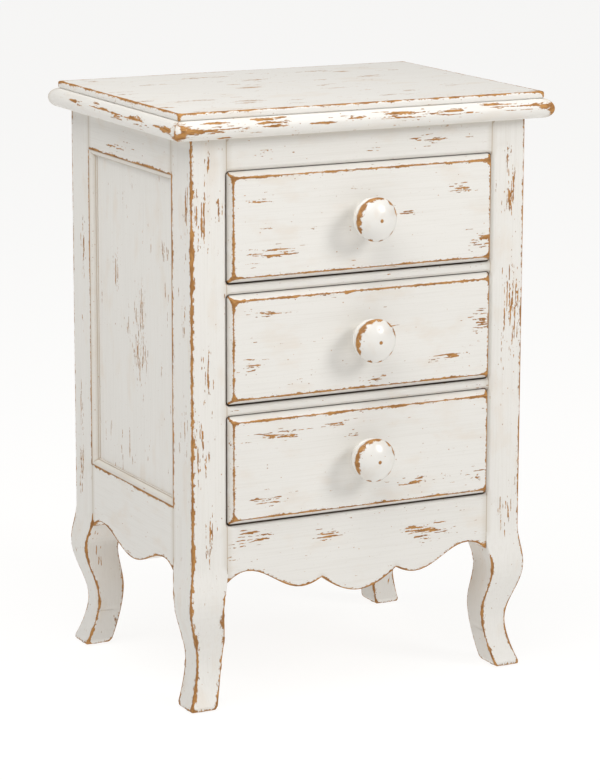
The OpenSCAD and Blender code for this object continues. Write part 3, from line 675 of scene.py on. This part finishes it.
# Where hands rubbed the rim: distance right of the knob's middle and above it, and reach
KNOB_RUBS = [
    (-17, 14, 7.5), (-20, 6, 7.5), (-24, -2, 5.5), (-24, -10, 4.5), (-8, 24.5, 7), (3, 26, 5),
    (17, 19, 4.5), (24, 9, 5.5), (19, -17, 3), (-9, -24, 3), (5, -25.5, 3),
]
# How far before and behind the rim a rub reaches
RUB_DEPTH = 9
# The rim's bare width: what a rub adds, what its ragged outline adds, and what the paint keeps
RUB_WIDTH = 8.5
RIM_RAGGED = 17.0
RIM_KEPT = -10.0
# The bare tip: how ragged its outline is, and the radius where the paint starts
TIP_RAGGED = 1.6
TIP_LINE = (3.2, 2.8)
KNOB_TEETH = Pattern(along=3.4, across=3.4, shift=4.0, detail=5, roughness=0.85)
KNOB_BLOTCHES = Pattern(along=18, across=18, shift=5.2, detail=3, levels=(0.5, 0.75), strength=0.4)
KNOB_RELIEF = 0.05
KNOB_ROUGHNESS = (0.22, 0.57)


def rounded(points, passes):
    """Corner cutting: each pass replaces every inner corner by two points."""
    keep = 1 - CUT_SHARE
    for _ in range(passes):
        cut = [points[0]]
        for (a, b), (c, d) in zip(points, points[1:]):
            cut.append((keep * a + CUT_SHARE * c, keep * b + CUT_SHARE * d))
            cut.append((CUT_SHARE * a + keep * c, CUT_SHARE * b + keep * d))
        cut.append(points[-1])
        points = cut
    return points


def knob_profile(radius, length):
    """Half outline of a knob from the drawer's face to the tip, in metres.

    Each point is (radius, distance from the face).
    """
    rim_end = KNOB_TURNING[-1][1] * MM
    dome_h = length - rim_end
    dome_r = (radius ** 2 + dome_h ** 2) / (2 * dome_h)
    reach = math.asin(radius / dome_r)
    dome = []
    for i in range(DOME_STEPS + 1):
        angle = reach * (1 - i / DOME_STEPS)
        dome.append((dome_r * math.sin(angle), length - dome_r * (1 - math.cos(angle))))
    turned = rounded([(r * MM, d * MM) for r, d in KNOB_TURNING], ROUNDING_PASSES)
    return [(0.0, 0.0)] + turned + dome[1:]


def turned_solid(profile, centre_x, face_y, centre_z):
    """The profile turned round the knob's axis, away from the drawer's face."""
    bm = bmesh.new()
    rings = []
    for r, d in profile:
        y = face_y - d
        if r < WELD:
            rings.append([bm.verts.new((centre_x, y, centre_z))])
            continue
        angles = [2 * math.pi * i / KNOB_SEGMENTS for i in range(KNOB_SEGMENTS)]
        rings.append([bm.verts.new((centre_x + r * math.cos(a), y, centre_z + r * math.sin(a)))
                      for a in angles])
    for one, two in zip(rings, rings[1:]):
        for i in range(KNOB_SEGMENTS):
            j = (i + 1) % KNOB_SEGMENTS
            if len(one) == 1:
                bm.faces.new((one[0], two[i], two[j]))
            elif len(two) == 1:
                bm.faces.new((one[i], two[0], one[j]))
            else:
                bm.faces.new((one[i], two[i], two[j], one[j]))
    bmesh.ops.recalc_face_normals(bm, faces=bm.faces)
    return bm


def make_knob(level, material):
    node = "drawer_%s_knob" % level
    low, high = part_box(node)
    centre_x, centre_z = (low[0] + high[0]) / 2, (low[2] + high[2]) / 2
    radius, length = (high[2] - low[2]) / 2, high[1] - low[1]
    bm = turned_solid(knob_profile(radius, length), centre_x, high[1], centre_z)
    mesh, points = finished_mesh(bm, node, material)
    radii = np.hypot(points[:, 0] - centre_x, points[:, 2] - centre_z)
    rim_y = high[1] - KNOB_RIM * MM
    rubs = [(centre_x / MM + x, rim_y / MM, centre_z / MM + z, reach, RUB_DEPTH, reach)
            for x, z, reach in KNOB_RUBS]
    store(mesh, "rim", np.hypot(radii - radius, points[:, 1] - rim_y) / MM)
    store(mesh, "tip", np.where(points[:, 1] < rim_y, radii / MM, FAR_MM))
    store(mesh, "rub", gaussians(points, rubs))
    piece = add_object(node + "_finish", mesh)
    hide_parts(node)
    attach(piece, "drawer_" + level)


def knob_paint(name):
    t = Tree(name)
    rim, tip, rub = t.attribute("rim"), t.attribute("tip"), t.attribute("rub")
    teeth = t.noise(KNOB_TEETH, X)
    width = t.math("MULTIPLY_ADD", rub, RUB_WIDTH, t.math("MULTIPLY_ADD", teeth, RIM_RAGGED, RIM_KEPT))
    rim_bare = t.ramp(t.math("SUBTRACT", rim, width), *SOFT_LINE)
    tip_bare = t.ramp(t.math("MULTIPLY_ADD", teeth, TIP_RAGGED, tip), *TIP_LINE)
    bare = t.largest(rim_bare, tip_bare, specks(t, X))
    blotches = t.noise(KNOB_BLOTCHES, X)
    share = t.ramp(blotches, *KNOB_BLOTCHES.levels, KNOB_BLOTCHES.strength)
    colour = t.mix(bare, t.mix(share, PAINT_LIGHT, PAINT_WARM), worn_wood(t, X))
    relief, chips = t.math("MULTIPLY", blotches, KNOB_RELIEF), t.math("MULTIPLY", bare, CHIP_DEPTH)
    return t.finish(colour, t.between(bare, *KNOB_ROUGHNESS), t.math("SUBTRACT", relief, chips))


# Studio

WARM_WHITE = (1.0, 0.995, 0.985, 1)
WORLD_STRENGTH = 0.06
FLOOR_HALF = 30
FLOOR_GREY = 0.12
FLOOR_GLOW = 0.91
FLOOR_ROUGHNESS = 0.9
FLOOR_SPECULAR = 0.1
# Soft round lamps that shine on the middle of the piece: direction, distance, size and watts
LAMP_TARGET = (0, 0, 0.36)
LAMPS = {
    "key": ((0.50, -0.68, 0.54), 4.5, 1.8, 88),
    "overhead": ((-0.42, -0.24, 0.875), 3.0, 3.5, 102),
}


def make_floor():
    half = FLOOR_HALF
    corners = [(-half, -half, 0), (half, -half, 0), (half, half, 0), (-half, half, 0)]
    mesh = bpy.data.meshes.new("floor")
    mesh.from_pydata(corners, [], [(0, 1, 2, 3)])
    floor = add_object("floor", mesh)
    t = Tree("floor_pale")
    looks = {
        "Base Color": (FLOOR_GREY, FLOOR_GREY, FLOOR_GREY, 1),
        "Roughness": FLOOR_ROUGHNESS,
        "Specular IOR Level": FLOOR_SPECULAR,
        "Emission Color": WARM_WHITE,
        "Emission Strength": FLOOR_GLOW,
    }
    for name, value in looks.items():
        t.shader.inputs[name].default_value = value
    mesh.materials.append(t.material)


def make_lamp(name, direction, distance, size, watts):
    data = bpy.data.lights.new(name, "AREA")
    data.shape = "DISK"
    data.size = size
    data.energy = watts
    lamp = add_object(name, data)
    away = Vector(direction).normalized()
    lamp.location = Vector(LAMP_TARGET) + away * distance
    lamp.rotation_mode = "QUATERNION"
    lamp.rotation_quaternion = away.to_track_quat("Z", "Y")


def make_studio():
    world = bpy.data.worlds.new("studio")
    world.use_nodes = True
    background = world.node_tree.nodes["Background"]
    background.inputs["Color"].default_value = WARM_WHITE
    background.inputs["Strength"].default_value = WORLD_STRENGTH
    scene.world = world
    scene.view_settings.view_transform = "Standard"
    scene.view_settings.look = "None"
    for name, values in LAMPS.items():
        make_lamp(name, *values)


# Places of the wear, in millimetres. Where nothing else is said, a place is (x, y, z, reach x, y, z)

# Scuffs on the top, as (x, y, reach along x)
TOP_SCUFFS = [
    (-70, 136, 30), (-57, 25, 22), (120, 60, 26), (-180, -60, 34), (60, -110, 30), (-20, 90, 24),
    (-228, -100, 14), (-226, -40, 12), (-215, 30, 16), (-120, -90, 26), (30, -20, 24), (170, -60, 22),
    (180, 110, 26), (-150, 100, 24), (90, 140, 30),
]
TOP_SCUFF_REACH = (6, 4)
# How far in from the top's sides its worn edge lies, and how far down the mitres the wear runs
TOP_EDGE_INSET = 1.6
MITRE_WEAR = 8
# Larger bare places round the top's mouldings
NOSE_BALD = [
    (-248, -168, 691, 20, 14, 12), (-226, -169, 691, 20, 8, 4), (-206, -169, 691, 14, 6, 1.6),
    (-249, -146, 692, 8, 22, 4), (-249, -122, 693, 8, 14, 1.6), (-244, -168, 684, 7, 8, 6),
    (-136, -166, 700, 20, 5, 2), (-112, -166, 701, 12, 5, 1.6), (-186, -165, 681, 10, 5, 1.4),
    (40, -167, 697, 22, 5, 1.6), (249, -166, 691, 10, 11, 10), (238, -168, 694, 12, 6, 3),
    (-196, -167, 699, 18, 5, 1.6), (164, -166, 700, 16, 5, 1.5), (-60, -169, 692, 20, 5, 1.3),
    (110, -168, 696, 18, 5, 1.4), (-249, -60, 694, 6, 22, 1.8), (-249, 30, 695, 6, 18, 1.6),
    (-249, 120, 695, 6, 16, 1.6),
]
NOSE_KEPT = [(-245, -169, 693, 3.2, 6, 5), (-249, -164, 692, 5, 4, 5)]
NOSE_SCUFFS = [
    (-180, -169, 692, 34, 6, 6), (-120, -169, 694, 40, 6, 6), (-30, -169, 695, 40, 6, 5),
    (50, -169, 695, 45, 6, 7), (120, -169, 692, 30, 6, 5), (185, -167, 698, 34, 6, 6),
    (225, -168, 694, 20, 6, 6), (-249, 0, 692, 6, 34, 5), (-249, 60, 696, 6, 24, 5),
    (-249, 110, 694, 6, 26, 5), (-249, -60, 692, 6, 40, 6), (249, 20, 694, 6, 50, 5),
]
LEG_SCUFFS = [
    (-201, FRAME_FACE, 657, 6, 6, 18), (-207, FRAME_FACE, 591, 9, 6, 44),
    (-199, FRAME_FACE, 406, 5, 6, 34), (-207, FRAME_FACE, 314, 8, 6, 38),
    (-199, FRAME_FACE, 200, 6, 6, 34), (201, FRAME_FACE, 594, 8, 6, 34),
    (203, FRAME_FACE, 451, 14, 6, 62), (206, FRAME_FACE, 205, 7, 6, 26),
    (198, FRAME_FACE, 639, 6, 6, 14), (-220, 162, 511, 6, 8, 28), (-220, 173, 301, 6, 7, 32),
    (-220, 175, 231, 6, 7, 34), (-220, -135, 600, 6, 6, 30), (-220, -130, 330, 6, 6, 34),
    (-220, -128, 470, 6, 5, 30), (220, -120, 420, 6, 6, 40), (220, 160, 520, 6, 6, 30),
]
LEG_BALD = [(-181, FRAME_FACE, 114, 5, 8, 18), (-180, FRAME_FACE, 140, 4, 6, 12)]
LEG_BALD += [(x, y, 0, 34, 34, 4.5) for x in (-208, 208) for y in (-138, 178)]
LEG_KEPT = [(x, FRAME_FACE, 162, 9, 12, 15) for x in (-175, 175)]
FRAME_SCUFFS = [
    (84, FRAME_FACE, 187, 34, 5, 11), (-147, FRAME_FACE, 206, 30, 5, 13),
    (87, FRAME_FACE, 661, 32, 5, 7), (-120, FRAME_FACE, 660, 20, 5, 5),
    (-40, FRAME_FACE, 196, 22, 5, 5),
]
# Scuffs on the sides, as (distance out from the middle, y, z, reach out, y, z)
RAIL_SCUFFS = [(220, 48, 647, 6, 44, 6)]
PANEL_SCUFFS = [
    (212, 13, 402, 6, 22, 36), (212, 79, 493, 6, 10, 24), (212, 7, 448, 6, 9, 36),
    (212, -85, 330, 6, 8, 26),
]
# Scuffs on the drawer fronts, as (x, z, reach x, reach z) from the middle of the face
DRAWER_SCUFFS = {
    "top": [
        (-134, 29, 22, 6), (-117, -32, 32, 7), (-126, -3, 10, 3), (130, 27, 24, 8), (158, -40, 16, 14),
        (60, 3, 20, 2.5),
    ],
    "middle": [
        (-127, 41, 24, 6), (156, 7, 14, 17), (116, -31, 28, 5), (20, -48, 24, 4.5), (-144, -20, 12, 10),
    ],
    "bottom": [
        (-109, 39, 32, 7), (-123, -38, 28, 8), (72, -36, 30, 7), (150, -40, 16, 8), (-30, 44, 22, 4),
    ],
}
DRAWER_SCUFF_DEPTH = 4
# How far the corners of a drawer's flat face lie in from its sides, and from its top and bottom
FACE_INSET_X, FACE_INSET_Z = 4, 6.2


# Dressing

SIDE_BEADS = ("side_moulding_left", "side_moulding_right")
FRONT_FRAME = ("front_top_rail", "front_rail_upper", "front_rail_lower", "front_apron")


def edge_lines(low, high, height, inset):
    """The four sides of a rectangle at a height, set in from the box's sides."""
    x0, y0 = low[0] / MM + inset, low[1] / MM + inset
    x1, y1 = high[0] / MM - inset, high[1] / MM - inset
    ring = [(x0, y0, height), (x1, y0, height), (x1, y1, height), (x0, y1, height)]
    return list(zip(ring, ring[1:] + ring[:1]))


def dress_top():
    low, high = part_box("top_board")
    top_z = high[2] / MM
    mitres = [(x / MM, y / MM) for x in (low[0], high[0]) for y in (low[1], high[1])]
    lines = edge_lines(low, high, top_z, TOP_EDGE_INSET)
    lines += [((x, y, top_z), (x, y, top_z - MITRE_WEAR)) for x, y in mitres]
    streaky = painted("paint_top", X, edge=1.0, streaks=1.6, roughness=DULL_ROUGHNESS)
    dressed("top_board", streaky, cell=(6, 4, 4), ease=2.2, lines=lines,
            corners=[(x, y, top_z) for x, y in mitres],
            scuffs=[(x, y, top_z, reach, *TOP_SCUFF_REACH) for x, y, reach in TOP_SCUFFS])
    nose_x = painted("paint_nose_front", X, edge=0)
    nose_y = painted("paint_nose_sides", Y, edge=0)
    for side, material in (("front", nose_x), ("back", nose_x), ("left", nose_y), ("right", nose_y)):
        dressed("top_moulding_" + side, material, cell=(3, 3, 5), bald=NOSE_BALD, kept=NOSE_KEPT,
                scuffs=NOSE_SCUFFS)


def dress_legs():
    post = painted("paint_posts", Z, edge=1.2, streaks=1.3)
    worn_post = painted("paint_front_left_post", Z, edge=1.8, streaks=1.3)
    for end in ("front", "rear"):
        for side in ("left", "right"):
            node = "leg_%s_%s" % (end, side)
            dressed(node, worn_post if node == "leg_front_left" else post, ease=1.4,
                    left_out=SIDE_BEADS, scuffs=LEG_SCUFFS, bald=LEG_BALD, kept=LEG_KEPT,
                    low_corners=True, deep=in_openings if end == "front" else leg_hollow)


def dress_frame():
    across = painted("paint_across", X, edge=1.15)
    for node in FRONT_FRAME:
        dressed(node, across, ease=0.8, scuffs=FRAME_SCUFFS, deep=in_openings)


def dress_sides():
    along = painted("paint_sides", Y, edge=1.3)
    panel = painted("paint_panels", Z, edge=0, streaks=1.6)
    bead = painted("paint_beads", Y, edge=0, streaks=0.4)
    for side, sign in (("left", -1), ("right", 1)):
        rail_scuffs, panel_scuffs = (
            [(sign * out, *rest) for out, *rest in places] for places in (RAIL_SCUFFS, PANEL_SCUFFS)
        )
        dressed("side_top_rail_" + side, along, left_out=SIDE_BEADS, ease=0.8, scuffs=rail_scuffs)
        dressed("side_apron_" + side, along, left_out=SIDE_BEADS, ease=0.8)
        dressed("side_panel_" + side, panel, cell=(8, 5, 8), ease=0, scuffs=panel_scuffs)
        dressed("side_moulding_" + side, bead, ease=0.4)


def dress_drawers():
    front = painted("paint_drawers", X, edge=0.85)
    knob = knob_paint("paint_knobs")
    for level, places in DRAWER_SCUFFS.items():
        node = "drawer_%s_front" % level
        low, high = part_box(node)
        mid_z = (low[2] + high[2]) / 2 / MM
        half_w = (high[0] - low[0]) / 2 / MM - FACE_INSET_X
        half_h = (high[2] - low[2]) / 2 / MM - FACE_INSET_Z
        corners = [(x, DRAWER_FACE, mid_z + z) for x in (-half_w, half_w) for z in (-half_h, half_h)]
        scuffs = [(x, DRAWER_FACE, mid_z + z, reach_x, DRAWER_SCUFF_DEPTH, reach_z)
                  for x, z, reach_x, reach_z in places]
        dressed(node, front, body="drawer_" + level, cell=(5, 4, 2), ease=0.7, corners=corners,
                scuffs=scuffs, deep=behind_bevel)
        make_knob(level, knob)


def dress_bare():
    """Gives the unpainted nodes their wood, with the grain along the longest side, steel or nylon."""
    slots = {row["node"]: row["material_slot"] for row in frame["record"]["subparts"]}
    bare = [plain_wood("bare_wood_" + GRAIN_NAMES[a], a, *CASE_WOOD) for a in range(3)]
    box = [plain_wood("drawer_wood_" + GRAIN_NAMES[a], a, *DRAWER_WOOD) for a in range(3)]
    screws, glides = steel("zinc"), nylon("nylon")
    for node, piece in frame["nodes"].items():
        low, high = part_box(node)
        sizes = [high[i] - low[i] for i in range(3)]
        longest = sizes.index(max(sizes))
        if slots.get(node) == "bare_wood":
            material = bare[Z if node == "back_panel" else longest]
        elif slots.get(node) == "drawer_wood":
            material = box[X if node.endswith("_bottom") else longest]
        elif slots.get(node) == "screw_steel":
            material = screws
        elif slots.get(node) == "glide_plastic":
            material = glides
        else:
            continue
        piece.data.materials.clear()
        piece.data.materials.append(material)


make_camera()
make_studio()
make_floor()
dress_top()
dress_legs()
dress_frame()
dress_sides()
dress_drawers()
dress_bare()
